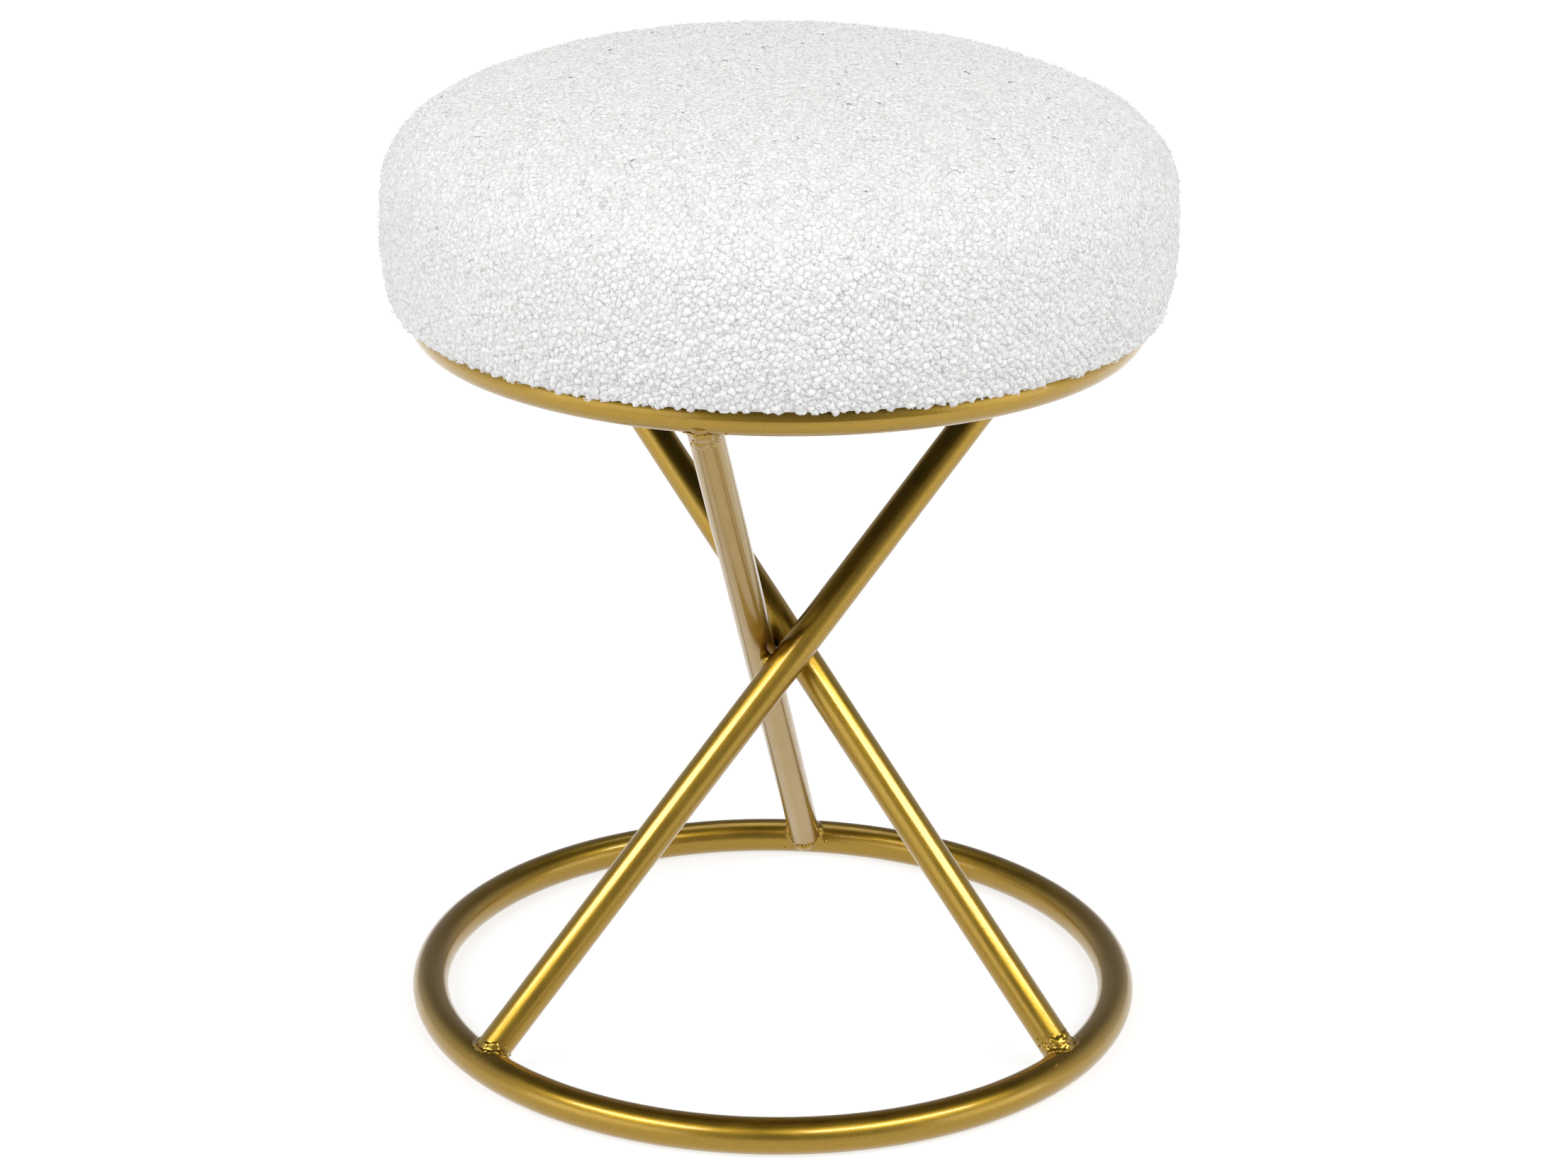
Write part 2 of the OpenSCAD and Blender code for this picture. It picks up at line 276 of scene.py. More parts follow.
def dim_room():
    """The dim room round the set, which only light and reflections meet. Its sides are lighter."""
    bm = bmesh.new()
    bmesh.ops.create_uvsphere(bm, u_segments=48, v_segments=24, radius=ROOM_R)
    bmesh.ops.bisect_plane(
        bm,
        geom=bm.verts[:] + bm.edges[:] + bm.faces[:],
        plane_co=(0, 0, ROOM_FOOT_Z),
        plane_no=UP,
        clear_inner=True,
    )
    piece = finish_mesh(bm, "room")
    material, nodes, links, shader = new_material("room_grey")
    place = nodes.new("ShaderNodeTexCoord")
    split = nodes.new("ShaderNodeSeparateXYZ")
    links.new(place.outputs["Object"], split.inputs[0])
    sideways = nodes.new("ShaderNodeMath")
    sideways.operation = "ABSOLUTE"
    links.new(split.outputs["X"], sideways.inputs[0])
    low = ramp(nodes, links, sideways.outputs[0], 0.3 * ROOM_R, 0.95 * ROOM_R, ROOM_BACK, ROOM_SIDE)
    high = ramp(nodes, links, split.outputs["Z"], 0.3 * ROOM_R, 0.85 * ROOM_R, 0, 1)
    level = nodes.new("ShaderNodeMix")
    links.new(high, level.inputs["Factor"])
    links.new(low, level.inputs["A"])
    level.inputs["B"].default_value = ROOM_TOP
    glow = nodes.new("ShaderNodeEmission")
    links.new(level.outputs["Result"], glow.inputs["Strength"])
    links.new(glow.outputs[0], nodes["Material Output"].inputs["Surface"])
    piece.data.materials.append(material)
    piece.visible_camera = False


def outline(inset, step):
    """The seat's side view, from its lower edge to the middle of the crown, as evenly spaced (r, z)."""
    line = []
    for i in range(200):
        z = SEAT_EDGE_Z + (SEAT_WIDE_Z - SEAT_EDGE_Z) * i / 200
        in_share = (SEAT_WIDE_Z - z) / (SEAT_WIDE_Z - SEAT_EDGE_Z)
        line.append((SEAT_WIDE_R - SEAT_TUCK * in_share**TUCK_POWER - inset, z))
    rise = SEAT_TOP_Z - inset - SEAT_WIDE_Z
    for i in range(1001):
        turn = math.pi / 2 * (i / 1000) ** 2
        r = (SEAT_WIDE_R - inset) * math.cos(turn)
        line.append((r, SEAT_WIDE_Z + rise * math.sqrt(math.sin(turn))))
    lengths = [0]
    for a, b in zip(line, line[1:]):
        lengths.append(lengths[-1] + math.dist(a, b))
    count = round(lengths[-1] / step)
    points, at = [], 0
    for i in range(count + 1):
        goal = lengths[-1] * i / count
        while at < len(line) - 2 and lengths[at + 1] < goal:
            at += 1
        share = (goal - lengths[at]) / (lengths[at + 1] - lengths[at])
        points.append(tuple(p + (q - p) * share for p, q in zip(line[at], line[at + 1])))
    points[-1] = (0, points[-1][1])
    return points


def spin_round(bm, line, steps):
    """Spins an outline of (r, z) into a round skin, closed where it meets the middle."""
    verts = [bm.verts.new((r, 0, z)) for r, z in line]
    edges = [bm.edges.new(pair) for pair in zip(verts, verts[1:])]
    bmesh.ops.spin(
        bm, geom=verts + edges, cent=(0, 0, 0), axis=UP, angle=FULL_TURN, steps=steps, use_merge=True
    )
    bmesh.ops.remove_doubles(bm, verts=bm.verts[:], dist=0.001 * MM)


def cushion_blank():
    """The cushion before it is stuffed: its cover with the hem under the board, closed round the board."""
    bm = bmesh.new()
    under = [
        (0, BOARD_TOP_Z),
        (BOARD_R, BOARD_TOP_Z),
        (BOARD_R, BOARD_LOW_Z),
        (HEM_R, BOARD_LOW_Z),
        (HEM_R, HEM_Z),
        (FOLD_R, HEM_Z),
    ]
    spin_round(bm, under + outline(PILE, COVER_STEP), COVER_STEPS_ROUND)
    bmesh.ops.recalc_face_normals(bm, faces=bm.faces[:])
    return finish_mesh(bm, "seat_cushion")


def on_skin(point):
    """True above the fold on the outside of the cover, where the stuffing can move it."""
    r = math.hypot(point.x, point.y)
    return point.z > BOARD_TOP_Z + MM or (r > BOARD_R + 3 * MM and point.z > SEAT_EDGE_Z + 3 * MM)


def stuff(piece):
    """Blows the cover up against its stapled edge, as the foam and wadding do."""
    held = piece.vertex_groups.new(name="held")
    held.add([v.index for v in piece.data.vertices if not on_skin(v.co)], 1, "REPLACE")
    cloth = piece.modifiers.new("stuffing", "CLOTH")
    settings = cloth.settings
    settings.vertex_group_mass = "held"
    settings.use_pressure = True
    settings.uniform_pressure_force = 4
    settings.effector_weights.gravity = 0
    settings.tension_stiffness = 15
    settings.compression_stiffness = 15
    settings.bending_stiffness = 2
    cloth.point_cache.frame_end = STUFFING_FRAMES
    scene = bpy.context.scene
    for step in range(1, STUFFING_FRAMES + 1):
        scene.frame_set(step)
    stuffed = piece.evaluated_get(bpy.context.evaluated_depsgraph_get()).to_mesh()
    places = [v.co.copy() for v in stuffed.vertices]
    piece.evaluated_get(bpy.context.evaluated_depsgraph_get()).to_mesh_clear()
    piece.modifiers.remove(cloth)
    piece.vertex_groups.remove(held)
    scene.frame_set(1)
    for vertex, place in zip(piece.data.vertices, places):
        move = place - vertex.co
        if move.length > SWELL:
            move.length = SWELL
        vertex.co += move


def refine_skin(piece):
    """Finer faces on the outside of the cover, a little uneven as stuffed fabric is."""
    bm = bmesh.new()
    bm.from_mesh(piece.data)
    skin = [f for f in bm.faces if all(on_skin(v.co) or v.co.z < HEM_Z for v in f.verts)]
    edges = list({e for f in skin for e in f.edges})
    bmesh.ops.subdivide_edges(bm, edges=edges, cuts=1, smooth=0.3, use_grid_fill=True)
    bm.normal_update()
    moves = {}
    for vertex in bm.verts:
        if on_skin(vertex.co):
            slow = noise.noise(vertex.co * 14) * 0.7 + noise.noise(vertex.co * 60) * 0.4
            fine = noise.noise(vertex.co * 260) * 0.5
            moves[vertex] = vertex.normal * (slow + fine) * MM
    for vertex, move in moves.items():
        vertex.co += move
    bm.to_mesh(piece.data)
    bm.free()
    for polygon in piece.data.polygons:
        polygon.use_smooth = True


def loose_mesh(bm, name):
    """Turns a finished bmesh into a mesh that no object shows."""
    mesh = bpy.data.meshes.new(name)
    bm.to_mesh(mesh)
    bm.free()
    return mesh


def knob_shapes():
    """Lumpy upper halves of knobs of yarn, each one different."""
    shapes = []
    for i in range(9):
        bm = bmesh.new()
        bmesh.ops.create_icosphere(bm, subdivisions=2, radius=1)
        for vertex in bm.verts:
            seed = vertex.co + Vector((i * 7, 0, 0))
            vertex.co *= KNOB_R * (1 + 0.36 * noise.noise(seed * 1.4) + 0.26 * noise.noise(seed * 3.6))
        sunk = [face for face in bm.faces if face.calc_center_median().z < 0.1 * KNOB_R]
        bmesh.ops.delete(bm, geom=sunk, context="FACES")
        shapes.append(loose_mesh(bm, "knob"))
    return shapes


def curl_shapes():
    """Loops of yarn, each with its turn in degrees, its radius and its rise along the turn."""
    shapes = []
    for turn, radius, rise in (
        (240, 0.95, 0.4), (300, 0.75, 0.5), (200, 1.1, 0.3), (360, 0.65, 0.8), (280, 0.85, 0.6)
    ):
        bm = bmesh.new()
        start = Matrix.Translation((radius * MM, 0, 0)) @ Matrix.Rotation(math.pi / 2, 4, "X")
        bmesh.ops.create_circle(bm, cap_ends=True, segments=3, radius=YARN_R, matrix=start)
        steps = math.ceil(turn / 40)
        bmesh.ops.spin(
            bm,
            geom=bm.faces[:] + bm.edges[:] + bm.verts[:],
            cent=(0, 0, 0),
            axis=UP,
            angle=math.radians(turn),
            steps=steps,
            dvec=(0, 0, rise * MM / steps),
        )
        bmesh.ops.recalc_face_normals(bm, faces=bm.faces[:])
        shapes.append(loose_mesh(bm, "curl"))
    return shapes


def spread_over(line, gap):
    """Points a gap apart all over the surface that the outline sweeps, with their way out and turn."""
    areas = [0]
    for (r, z), (next_r, next_z) in zip(line, line[1:]):
        areas.append(areas[-1] + math.pi * (r + next_r) * math.dist((r, z), (next_r, next_z)))
    count = round(areas[-1] / gap**2)
    at = 0
    for i in range(count):
        goal = areas[-1] * (i + 0.5) / count
        while areas[at + 1] < goal:
            at += 1
        share = (goal - areas[at]) / (areas[at + 1] - areas[at])
        (r, z), (next_r, next_z) = line[at], line[at + 1]
        turn = i * GOLDEN_TURN
        ahead = Vector((math.cos(turn), math.sin(turn), 0))
        out = (ahead * (next_z - z) + UP * (r - next_r)).normalized()
        yield ahead * (r + (next_r - r) * share) + UP * (z + (next_z - z) * share), out, turn % FULL_TURN


def scatter(line, gap, trees, shapes, stand, chance):
    """Puts one of the shapes at each spread-out point, set on what lies below as stand() says."""
    parts = [bmesh.new() for _ in range(PILE_PARTS)]
    for place, out, turn in spread_over(line, gap):
        part = int(turn / FULL_TURN * PILE_PARTS)
        side = Matrix.Rotation(chance.uniform(0, FULL_TURN), 3, out) @ out.orthogonal().normalized()
        start = place + side * chance.uniform(0, 0.4) * gap + out * 8 * MM
        found = [tree.ray_cast(start, -out, 16 * MM) for tree in trees[part]]
        found = [hit for hit in found if hit[0] is not None]
        if not found:
            continue
        spot, normal = min(found, key=lambda hit: hit[3])[:2]
        shape = shapes[chance.randrange(len(shapes))]
        put = stand(spot, normal, out, chance)
        shape.transform(put)
        parts[part].from_mesh(shape)
        shape.transform(put.inverted())
    for shape in shapes:
        bpy.data.meshes.remove(shape)
    return parts


def knob_stand(spot, normal, out, chance):
    """Stands a knob up from the cover, lower where the seat is sat on."""
    lean = (out + Vector([chance.gauss(0, 0.18) for _ in range(3)])).normalized()
    turned = lean.to_track_quat("Z", "Y").to_matrix().to_4x4() @ Matrix.Rotation(
        chance.uniform(0, FULL_TURN), 4, "Z"
    )
    worn = 1 - SAT_FLAT * max(0, out.z) ** 2
    size = Matrix.Diagonal(
        (chance.uniform(0.8, 1.2), chance.uniform(0.75, 1), worn * chance.uniform(0.74, 0.98), 1)
    )
    return Matrix.Translation(spot - out * KNOB_SUNK * worn) @ turned @ size


def curl_stand(spot, normal, out, chance):
    """Lays a curl of yarn on the knobs."""
    lean = (normal * 0.7 + out * 0.3 + Vector([chance.gauss(0, 0.22) for _ in range(3)])).normalized()
    turned = lean.to_track_quat("Z", "Y").to_matrix().to_4x4() @ Matrix.Rotation(
        chance.uniform(0, FULL_TURN), 4, "Z"
    )
    size = chance.uniform(0.75, 1.2)
    return Matrix.Translation(spot + out * chance.uniform(0, 0.25) * MM) @ turned @ Matrix.Scale(size, 4)


def pile(cushion):
    """The boucle's knobs all over the cover, and its loose curls on the knobs."""
    chance = random.Random(11)
    line = outline(PILE, MM)
    cover = BVHTree.FromObject(cushion, bpy.context.evaluated_depsgraph_get())
    knobs = scatter(line, KNOB_GAP, [[cover]] * PILE_PARTS, knob_shapes(), knob_stand, chance)
    trees = [[cover, BVHTree.FromBMesh(part)] for part in knobs]
    curls = scatter(line, CURL_GAP, trees, curl_shapes(), curl_stand, chance)
    names = [f"boucle_knobs_{i + 1}" for i in range(PILE_PARTS)]
    names += [f"boucle_curls_{i + 1}" for i in range(PILE_PARTS)]
    return [finish_mesh(part, name) for part, name in zip(knobs + curls, names)]


def node_mesh(name):
    """A copy of a CAD node's mesh in the stool's frame, its doubled points merged."""
    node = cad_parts[name]
    bm = bmesh.new()
    bm.from_mesh(node.data)
    bm.transform(node.matrix_world)
    bmesh.ops.remove_doubles(bm, verts=bm.verts[:], dist=0.01 * MM)
    return bm


def tube_tree():
    """The bare tubes that weld and spatter sit on."""
    together = bmesh.new()
    for name in ("base_ring", "leg_1", "leg_2", "leg_3", "seat_ring"):
        bm = node_mesh(name)
        mesh = loose_mesh(bm, name)
        together.from_mesh(mesh)
        bpy.data.meshes.remove(mesh)
    tree = BVHTree.FromBMesh(together)
    together.free()
    return tree


def leg_ends():
    """The middles of the lower and upper end of each leg."""
    ends = []
    for name in ("leg_1", "leg_2", "leg_3"):
        bm = node_mesh(name)
        spots_on = sorted((v.co.copy() for v in bm.verts), key=lambda co: co.z)
        bm.free()
        few = max(8, len(spots_on) // 50)
        low = sum(spots_on[:few], Vector()) / few
        high = sum(spots_on[-few:], Vector()) / few
        ends.append((low, high))
    return ends


def add_blob(bm, spot, normal, size, flat):
    """A round drop of metal on the spot, pressed flat."""
    turn = normal.to_track_quat("Z", "Y").to_matrix().to_4x4()
    matrix = Matrix.Translation(spot) @ turn @ Matrix.Diagonal((1, 1, flat, 1))
    bmesh.ops.create_icosphere(bm, subdivisions=3, radius=size, matrix=matrix)


def on_tube(tubes, patch, start_at, end_at, spread, chance):
    """A place on the tubes as seen from the side that a patch faces, within its reach along the leg."""
    joint, facing, along = patch
    across = facing.cross(along).normalized() * chance.gauss(0, 1) * spread
    start = joint + along * chance.uniform(start_at, end_at) * MM + across + facing * 30 * MM
    return tubes.ray_cast(start, -facing, 45 * MM)[:2]


def even_skin(bm, name):
    """The solids in the bmesh merged into one skin of small even faces."""
    piece = finish_mesh(bm, name)
    even = piece.modifiers.new("even", "REMESH")
    even.mode = "VOXEL"
    even.voxel_size = WELD_STEP
    evaluated = piece.evaluated_get(bpy.context.evaluated_depsgraph_get())
    bm = bmesh.new()
    bm.from_mesh(evaluated.to_mesh())
    evaluated.to_mesh_clear()
    piece.modifiers.remove(even)
    return piece, bm


def thin_out(bm, tubes):
    """Draws the weld in to a thin uneven fillet on the tubes."""
    for vertex in bm.verts:
        spot, normal = tubes.find_nearest(vertex.co)[:2]
        if (vertex.co - spot).dot(normal) > 0:
            share = WELD_THIN * (1 + noise.noise(vertex.co * 180))
            vertex.co = spot + (vertex.co - spot) * share


def melt(bm):
    """Smooths the weld's skin and raises small lumps on it."""
    for _ in range(2):
        bmesh.ops.smooth_vert(
            bm, verts=bm.verts[:], factor=0.5, use_axis_x=True, use_axis_y=True, use_axis_z=True
        )
    bm.normal_update()
    moves = []
    for vertex in bm.verts:
        lump = noise.noise(vertex.co * 300) + 0.4 * noise.noise(vertex.co * 800)
        moves.append(vertex.normal * WELD_LUMP * (0.35 + lump))
    for vertex, move in zip(bm.verts, moves):
        vertex.co += move


def weld(node_name, name, patches, at_foot, tubes, chance):
    """The weld runs of a node, thin and uneven, with a heavy lumpy patch and spatter at each joint."""
    bm = node_mesh(node_name)
    ends = sorted(leg_ends(), key=lambda pair: pair[0 if at_foot else 1].y)
    if at_foot:
        ends = sorted(ends[:2], key=lambda pair: -pair[0].x) + ends[2:]
    places = []
    for (low, high), (facing, *amounts) in zip(ends, patches):
        end, far = (low, high) if at_foot else (high, low)
        near = [v.co for v in bm.verts if (v.co - end).length < 30 * MM]
        joint = sum(near, Vector()) / len(near)
        places.append(((joint, Vector(facing).normalized(), (far - end).normalized()), *amounts))
    thin_out(bm, tubes)
    for patch, start_at, end_at, flat, blobs, _ in places:
        for _ in range(blobs):
            spot, normal = on_tube(tubes, patch, start_at, end_at, BLOB_SPREAD, chance)
            if spot is not None:
                add_blob(bm, spot, normal, BLOB_R * chance.uniform(0.5, 1.1), flat)
    piece, bm = even_skin(bm, name)
    melt(bm)
    for patch, start_at, end_at, _, _, beads in places:
        for _ in range(beads):
            spot, normal = on_tube(
                tubes, patch, start_at - SPATTER_BEFORE, end_at + SPATTER_PAST, SPATTER_SPREAD, chance
            )
            size = SPATTER_R * chance.uniform(0.6, 1.3)
            if spot is not None:
                add_blob(bm, spot + normal * 0.3 * size, normal, size, 1)
    bm.to_mesh(piece.data)
    bm.free()
    for polygon in piece.data.polygons:
        polygon.use_smooth = True
    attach(piece, "root")
    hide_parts(node_name)
    return piece


def dust_sheet():
    """The thin black cloth under the seat: tight at its staples and a little slack in the middle."""
    bm = bmesh.new()
    line = [(DUST_R * i / DUST_RINGS, DUST_Z) for i in range(DUST_RINGS + 1)]
    spin_round(bm, line, DUST_STEPS_ROUND)
    for vertex in bm.verts:
        r = math.hypot(vertex.co.x, vertex.co.y)
        turn = math.atan2(vertex.co.y, vertex.co.x)
        slack = max(0, 1 - r / DUST_FREE_R)
        folds = noise.noise(Vector((math.cos(turn), math.sin(turn), 0)) * 9) * (r / DUST_R) ** 2
        creases = noise.noise(vertex.co * 22) * min(1, slack * 4)
        vertex.co.z += (0.14 * folds + 0.35 * creases) * MM - DUST_SAG * slack**0.8
    sheet = finish_mesh(bm, "dust_cloth_sheet")
    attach(sheet, "root")
    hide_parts("dust_cover")
    return sheet


def group(name, outputs):
    """An empty node group with the given outputs, each a name and a socket type."""
    tree = bpy.data.node_groups.new(name, "ShaderNodeTree")
    for output, kind in outputs:
        tree.interface.new_socket(output, in_out="OUTPUT", socket_type=kind)
    return tree, tree.nodes, tree.links, tree.nodes.new("NodeGroupOutput")


def spots(nodes, links, scale, detail=2.0):
    """Noise at so many spots to the metre, fixed to the piece."""
    place = nodes.new("ShaderNodeTexCoord")
    node = nodes.new("ShaderNodeTexNoise")
    node.inputs["Scale"].default_value = scale
    node.inputs["Detail"].default_value = detail
    links.new(place.outputs["Object"], node.inputs["Vector"])
    return node.outputs["Fac"]


def relief(nodes, links, height, distance, normal=None):
    """A bump of so many metres where height is 1, on top of another normal if one is given."""
    node = nodes.new("ShaderNodeBump")
    node.inputs["Distance"].default_value = distance
    links.new(height, node.inputs["Height"])
    if normal is not None:
        links.new(normal, node.inputs["Normal"])
    return node.outputs["Normal"]


def blend(nodes, links, amount, first, second):
    """A colour that goes from the first to the second as amount goes from 0 to 1."""
    node = nodes.new("ShaderNodeMix")
    node.data_type = "RGBA"
    links.new(amount, node.inputs["Factor"])
    node.inputs[MIX_COLOR_A].default_value = (*first, 1)
    node.inputs[MIX_COLOR_B].default_value = (*second, 1)
    return node.outputs[MIX_COLOR_RESULT]


def metal_flake():
    """Fine flakes in the paint: a speckled colour, an uneven gloss and a faint orange peel."""
    tree, nodes, links, out = group(
        "metal_flake",
        (
            ("Color", "NodeSocketColor"),
            ("Roughness", "NodeSocketFloat"),
            ("Flake Normal", "NodeSocketVector"),
            ("Coat Normal", "NodeSocketVector"),
        ),
    )
    flakes = spots(nodes, links, 1900)
    clouds = spots(nodes, links, 60)
    speckle = ramp(nodes, links, flakes, 0.3, 0.7, 0, 1)
    color = blend(nodes, links, speckle, (0.31, 0.186, 0.018), (0.385, 0.238, 0.024))
    links.new(color, out.inputs["Color"])
    links.new(ramp(nodes, links, clouds, 0.3, 0.7, 0.31, 0.37), out.inputs["Roughness"])
    links.new(relief(nodes, links, flakes, 0.035 * MM), out.inputs["Flake Normal"])
    links.new(relief(nodes, links, spots(nodes, links, 260), 0.004 * MM), out.inputs["Coat Normal"])
    return tree


def gold_paint(name, flake, polish, coat, coat_roughness):
    """Gold paint. polish is below 1 where it lies smoother, and coat is its share of clear lacquer."""
    material, nodes, links, shader = new_material(name)
    paint = nodes.new("ShaderNodeGroup")
    paint.node_tree = flake
    links.new(paint.outputs["Color"], shader.inputs["Base Color"])
    gloss = nodes.new("ShaderNodeMath")
    gloss.operation = "MULTIPLY"
    gloss.inputs[1].default_value = polish
    links.new(paint.outputs["Roughness"], gloss.inputs[0])
    links.new(gloss.outputs[0], shader.inputs["Roughness"])
    links.new(paint.outputs["Flake Normal"], shader.inputs["Normal"])
    links.new(paint.outputs["Coat Normal"], shader.inputs["Coat Normal"])
    shader.inputs["Metallic"].default_value = 1
    shader.inputs["Coat Weight"].default_value = coat
    shader.inputs["Coat IOR"].default_value = 1.42
    shader.inputs["Coat Roughness"].default_value = coat_roughness
    return material


def wool_fibres():
    """Fine crimped fibre: a soft mottled white with a fuzzy relief."""
    tree, nodes, links, out = group(
        "wool_fibres", (("Color", "NodeSocketColor"), ("Normal", "NodeSocketVector"))
    )
    clumps = ramp(nodes, links, spots(nodes, links, 420), 0.35, 0.65, 0, 1)
    color = blend(nodes, links, clumps, (0.93, 0.927, 0.91), (0.98, 0.98, 0.97))
    links.new(color, out.inputs["Color"])
    tufts = ramp(nodes, links, spots(nodes, links, 750, 3), 0.3, 0.7, 0, 1)
    hairs = ramp(nodes, links, spots(nodes, links, 2300, 3), 0.3, 0.7, 0, 1)
    tufted = relief(nodes, links, tufts, 0.14 * MM)
    links.new(relief(nodes, links, hairs, 0.08 * MM, tufted), out.inputs["Normal"])
    return tree


def boucle(name, fibres):
    material, nodes, links, shader = new_material(name)
    wool = nodes.new("ShaderNodeGroup")
    wool.node_tree = fibres
    links.new(wool.outputs["Color"], shader.inputs["Base Color"])
    links.new(wool.outputs["Normal"], shader.inputs["Normal"])
    shader.inputs["Roughness"].default_value = 0.9
    shader.inputs["Specular IOR Level"].default_value = 0.1
    shader.inputs["Sheen Weight"].default_value = 0.45
    shader.inputs["Sheen Roughness"].default_value = 0.5
    shader.inputs["Subsurface Weight"].default_value = 0.5
    shader.inputs["Subsurface Radius"].default_value = (1, 1, 1)
    shader.inputs["Subsurface Scale"].default_value = 1.3 * MM
    return material


def painted_shade_underside():
    """Painted shade under the seat edge: a dark grey cloth with a knit texture, where the cloth is turned
    under the seat.
    """
    material, nodes, links, shader = new_material("boucle_underside_painted_shade")
    knit = ramp(nodes, links, spots(nodes, links, 900, 3), 0.35, 0.65, 0, 1)
    color = blend(nodes, links, knit, (0.26, 0.25, 0.235), (0.4, 0.39, 0.37))
    links.new(color, shader.inputs["Base Color"])
    links.new(relief(nodes, links, knit, 0.12 * MM), shader.inputs["Normal"])
    shader.inputs["Roughness"].default_value = 0.9
    shader.inputs["Specular IOR Level"].default_value = 0.1
    return material


def loop_yarn():
    """The smooth bright yarn of the loose curls."""
    material, nodes, links, shader = new_material("loop_yarn")
    shade = ramp(nodes, links, spots(nodes, links, 300), 0.35, 0.65, 0, 1)
    color = blend(nodes, links, shade, (0.93, 0.925, 0.91), (0.97, 0.97, 0.965))
    links.new(color, shader.inputs["Base Color"])
    shader.inputs["Roughness"].default_value = 0.5
    shader.inputs["Sheen Weight"].default_value = 0.1
    return material


def zinc_plate():
    """Bright zinc on steel: small cloudy crystals, and faint wear on the gloss."""
    material, nodes, links, shader = new_material("zinc_plate")
    crystals = spots(nodes, links, 900, 1)
    tone = ramp(nodes, links, crystals, 0.3, 0.7, 0, 1)
    color = blend(nodes, links, tone, (0.5, 0.51, 0.53), (0.66, 0.67, 0.68))
    links.new(color, shader.inputs["Base Color"])
    wear = ramp(nodes, links, spots(nodes, links, 350), 0.3, 0.7, 0.26, 0.42)
    links.new(wear, shader.inputs["Roughness"])
    links.new(relief(nodes, links, crystals, 0.02 * MM), shader.inputs["Normal"])
    shader.inputs["Metallic"].default_value = 1
    return material


def birch_ply():
    """Birch veneer with its grain along X and short dark pores."""
    material, nodes, links, shader = new_material("birch_ply")
    place = nodes.new("ShaderNodeTexCoord")
    along = nodes.new("ShaderNodeMapping")
    along.inputs["Scale"].default_value = (0.06, 1, 1)
    links.new(place.outputs["Object"], along.inputs["Vector"])
    grain = nodes.new("ShaderNodeTexNoise")
    grain.inputs["Scale"].default_value = 420
    grain.inputs["Detail"].default_value = 4
    links.new(along.outputs["Vector"], grain.inputs["Vector"])
    tone = ramp(nodes, links, grain.outputs["Fac"], 0.35, 0.65, 0, 1)
    color = blend(nodes, links, tone, (0.5, 0.34, 0.2), (0.68, 0.52, 0.34))
    links.new(color, shader.inputs["Base Color"])
    links.new(relief(nodes, links, grain.outputs["Fac"], 0.06 * MM), shader.inputs["Normal"])
    shader.inputs["Roughness"].default_value = 0.7
    return material


def black_felt():
    """Black bonded fibre, pressed in a close pattern of small points."""
    material, nodes, links, shader = new_material("black_felt")
    place = nodes.new("ShaderNodeTexCoord")
    points = nodes.new("ShaderNodeTexVoronoi")
    points.inputs["Scale"].default_value = 800
    points.inputs["Randomness"].default_value = 0.25
    links.new(place.outputs["Object"], points.inputs["Vector"])
    pressed = ramp(nodes, links, points.outputs["Distance"], 0.15, 0.45, 0, 1)
    fibres = ramp(nodes, links, spots(nodes, links, 2400, 4), 0.35, 0.65, 0, 1)
    color = blend(nodes, links, fibres, (0.018, 0.018, 0.02), (0.045, 0.045, 0.05))
    links.new(color, shader.inputs["Base Color"])
    raised = relief(nodes, links, pressed, 0.12 * MM)
    links.new(relief(nodes, links, fibres, 0.08 * MM, raised), shader.inputs["Normal"])
    shader.inputs["Roughness"].default_value = 0.75
    shader.inputs["Specular IOR Level"].default_value = 0.3
    return material


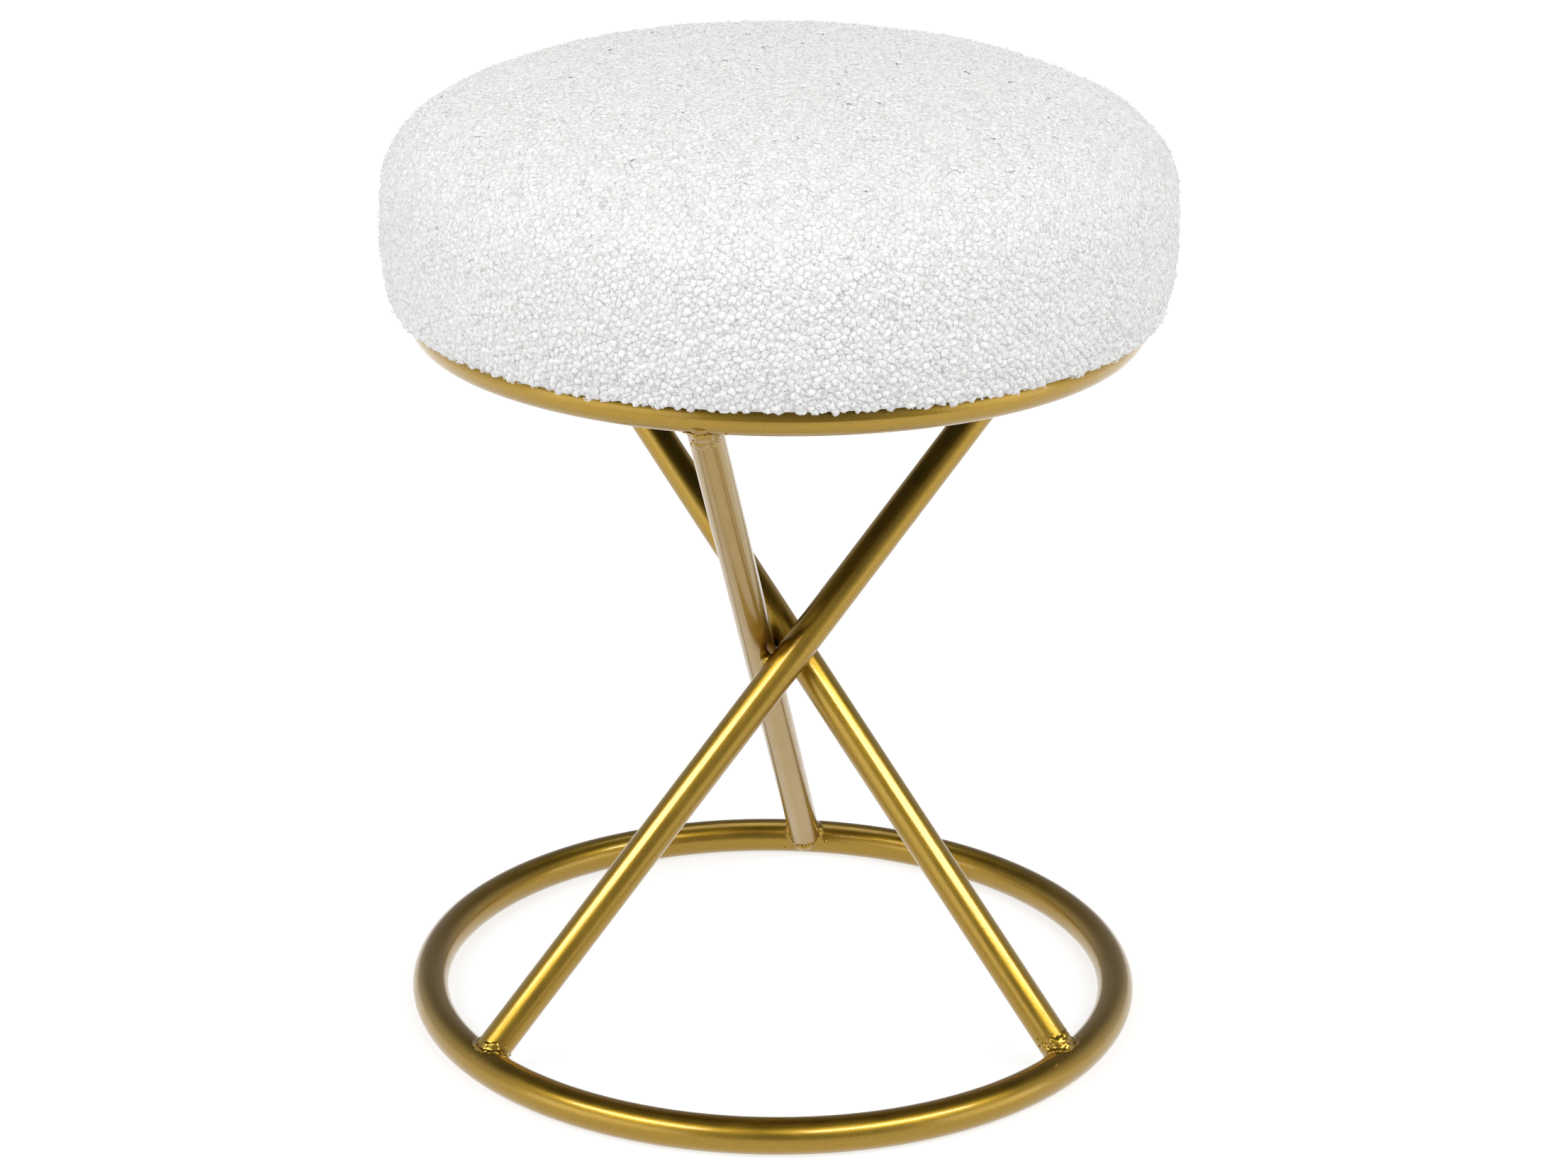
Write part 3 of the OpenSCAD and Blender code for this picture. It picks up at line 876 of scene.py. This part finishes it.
def paint(material, *names):
    """Gives CAD nodes their material."""
    for name in names:
        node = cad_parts[name]
        node.data.materials.clear()
        node.data.materials.append(material)


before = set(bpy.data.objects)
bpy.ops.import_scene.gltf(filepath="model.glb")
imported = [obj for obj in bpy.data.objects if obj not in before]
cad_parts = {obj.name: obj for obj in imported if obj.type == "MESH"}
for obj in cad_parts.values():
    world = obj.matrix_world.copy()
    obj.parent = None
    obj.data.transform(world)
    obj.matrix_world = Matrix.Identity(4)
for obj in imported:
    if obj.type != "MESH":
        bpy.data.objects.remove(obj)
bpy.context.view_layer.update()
look()
for name, values in LAMPS.items():
    lamp(name, *values)
for name, values in FILLS.items():
    lamp(name, *values).visible_glossy = False
for name, values in GLINTS.items():
    lamp(name, *values).visible_diffuse = False
white_surroundings()
floor()
dim_room()

flake = metal_flake()
paint(
    gold_paint("gold_lacquer", flake, 1, 0.8, 0.11),
    "base_ring", "leg_1", "leg_2", "leg_3", "seat_ring", "seat_tabs", "tab_welds",
)
paint(zinc_plate(), "seat_screws", "screw_washers", "tee_nuts", "staples")
paint(birch_ply(), "seat_board")

gold_over_weld = gold_paint("gold_over_weld", flake, 0.8, 0.75, 0.06)
chance = random.Random(5)
tubes = tube_tree()
for piece in (
    weld("foot_welds", "foot_weld_runs", FOOT_PATCHES, True, tubes, chance),
    weld("head_welds", "head_weld_runs", HEAD_PATCHES, False, tubes, chance),
):
    piece.data.materials.append(gold_over_weld)
paint(gold_over_weld, "cross_tacks")

wool = boucle("boucle_wool", wool_fibres())
yarn = loop_yarn()
cushion = cushion_blank()
stuff(cushion)
refine_skin(cushion)
cushion.data.materials.append(wool)
# The second material is dark grey cloth, painted shade under the seat edge, put on the faces below the
# board inside that radius
cushion.data.materials.append(painted_shade_underside())
for polygon in cushion.data.polygons:
    middle = polygon.center
    if middle.z < BOARD_LOW_Z and math.hypot(middle.x, middle.y) < PAINTED_SHADE_R:
        polygon.material_index = 1
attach(cushion, "root")
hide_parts("seat_cover", "seat_wadding", "seat_foam")
for piece in pile(cushion):
    piece.data.materials.append(yarn if "curls" in piece.name else wool)
    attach(piece, "root")

dust_sheet().data.materials.append(black_felt())

bpy.context.scene.view_settings.view_transform = "Standard"
